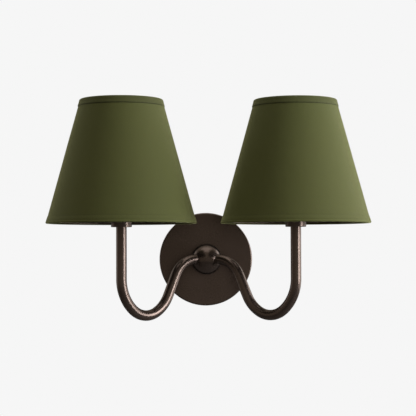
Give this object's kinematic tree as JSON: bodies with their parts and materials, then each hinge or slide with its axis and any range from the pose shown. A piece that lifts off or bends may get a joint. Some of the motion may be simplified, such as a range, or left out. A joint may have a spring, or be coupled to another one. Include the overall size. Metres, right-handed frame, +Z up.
{
  "type": "double arm wall sconce",
  "caption": "Wall light: round bronze backplate, ball hub, bent tube arms that rise under olive fabric empire shades with candelabra lamp holders.",
  "frame": {"origin": "centre of the round backplate on the wall plane, which is also the centre between the crossbar's slots", "axes": "+Y into the wall, so the front faces -Y; +X to the right as seen from the room; +Z up"},
  "size_m": [0.3906, 0.2083, 0.2648],
  "materials": {
    "dark_bronze": "dark oil-rubbed bronze, satin",
    "zinc_steel": "bright zinc plate",
    "green_zinc": "green dyed zinc plate",
    "tinned_copper": "tinned copper",
    "green_insulation": "smooth wire insulation",
    "black_insulation": "smooth wire insulation",
    "white_insulation": "smooth wire insulation",
    "black_phenolic": "moulded phenolic",
    "brass": "drawn brass",
    "olive_fabric": "fine smooth woven shade cloth",
    "olive_tape": "matching edge tape, same cloth",
    "shade_lining": "styrene lining, dark inside",
    "wire_steel": "bronze coated wire",
    "opal_glass": "opal inside-coated lamp glass",
    "bulb_metal": "nickelled lamp cap",
    "bulb_contact": "vitrite insulator with a solder button",
    "connector_plastic": "moulded twist-on connector"
  },
  "bodies": {
    "root": {"backplate": "dark_bronze", "mounting_crossbar": "zinc_steel", "plate_set_screws": "zinc_steel", "ground_screw": "green_zinc", "ground_terminals": "tinned_copper", "ground_lead": "green_insulation", "hub_ball": "dark_bronze", "hub_collar": "dark_bronze", "hub_nipple": "zinc_steel", "hub_washer": "zinc_steel", "hub_nut": "zinc_steel", "left_arm": "dark_bronze", "right_arm": "dark_bronze", "left_socket_cup": "dark_bronze", "right_socket_cup": "dark_bronze", "cup_nipples": "zinc_steel", "cup_washers": "zinc_steel", "cup_nuts": "zinc_steel", "left_socket_body": "black_phenolic", "right_socket_body": "black_phenolic", "left_screw_shell": "brass", "right_screw_shell": "brass", "left_centre_contact": "brass", "right_centre_contact": "brass", "left_live_lead": "black_insulation", "left_neutral_lead": "white_insulation", "right_live_lead": "black_insulation", "right_neutral_lead": "white_insulation", "live_connector": "connector_plastic", "neutral_connector": "connector_plastic"},
    "left_shade": {"left_shade_fabric": "olive_fabric", "left_shade_liner": "shade_lining", "left_top_tape": "olive_tape", "left_bottom_tape": "olive_tape", "left_top_ring": "wire_steel", "left_shade_frame": "wire_steel"},
    "left_ring_nut": {"left_ring_nut": "black_phenolic"},
    "left_bulb": {"left_bulb_glass": "opal_glass", "left_bulb_base": "bulb_metal", "left_bulb_contact": "bulb_contact"},
    "right_shade": {"right_shade_fabric": "olive_fabric", "right_shade_liner": "shade_lining", "right_top_tape": "olive_tape", "right_bottom_tape": "olive_tape", "right_top_ring": "wire_steel", "right_shade_frame": "wire_steel"},
    "right_ring_nut": {"right_ring_nut": "black_phenolic"},
    "right_bulb": {"right_bulb_glass": "opal_glass", "right_bulb_base": "bulb_metal", "right_bulb_contact": "bulb_contact"}
  },
  "joints": [
    {"name": "left_shade_turn", "type": "hinge", "parent": "root", "child": "left_shade", "pos_m": [-0.1045, -0.1175, 0.074], "axis": [0, 0, 1], "continuous": true},
    {"name": "left_ring_nut_turn", "type": "hinge", "parent": "root", "child": "left_ring_nut", "pos_m": [-0.1045, -0.1175, 0.074], "axis": [0, 0, 1], "range_deg": [0, 1080]},
    {"name": "left_bulb_turn", "type": "hinge", "parent": "root", "child": "left_bulb", "pos_m": [-0.1045, -0.1175, 0.074], "axis": [0, 0, 1], "range_deg": [0, 1440]},
    {"name": "right_shade_turn", "type": "hinge", "parent": "root", "child": "right_shade", "pos_m": [0.1045, -0.1175, 0.074], "axis": [0, 0, 1], "continuous": true},
    {"name": "right_ring_nut_turn", "type": "hinge", "parent": "root", "child": "right_ring_nut", "pos_m": [0.1045, -0.1175, 0.074], "axis": [0, 0, 1], "range_deg": [0, 1080]},
    {"name": "right_bulb_turn", "type": "hinge", "parent": "root", "child": "right_bulb", "pos_m": [0.1045, -0.1175, 0.074], "axis": [0, 0, 1], "range_deg": [0, 1440]}
  ]
}
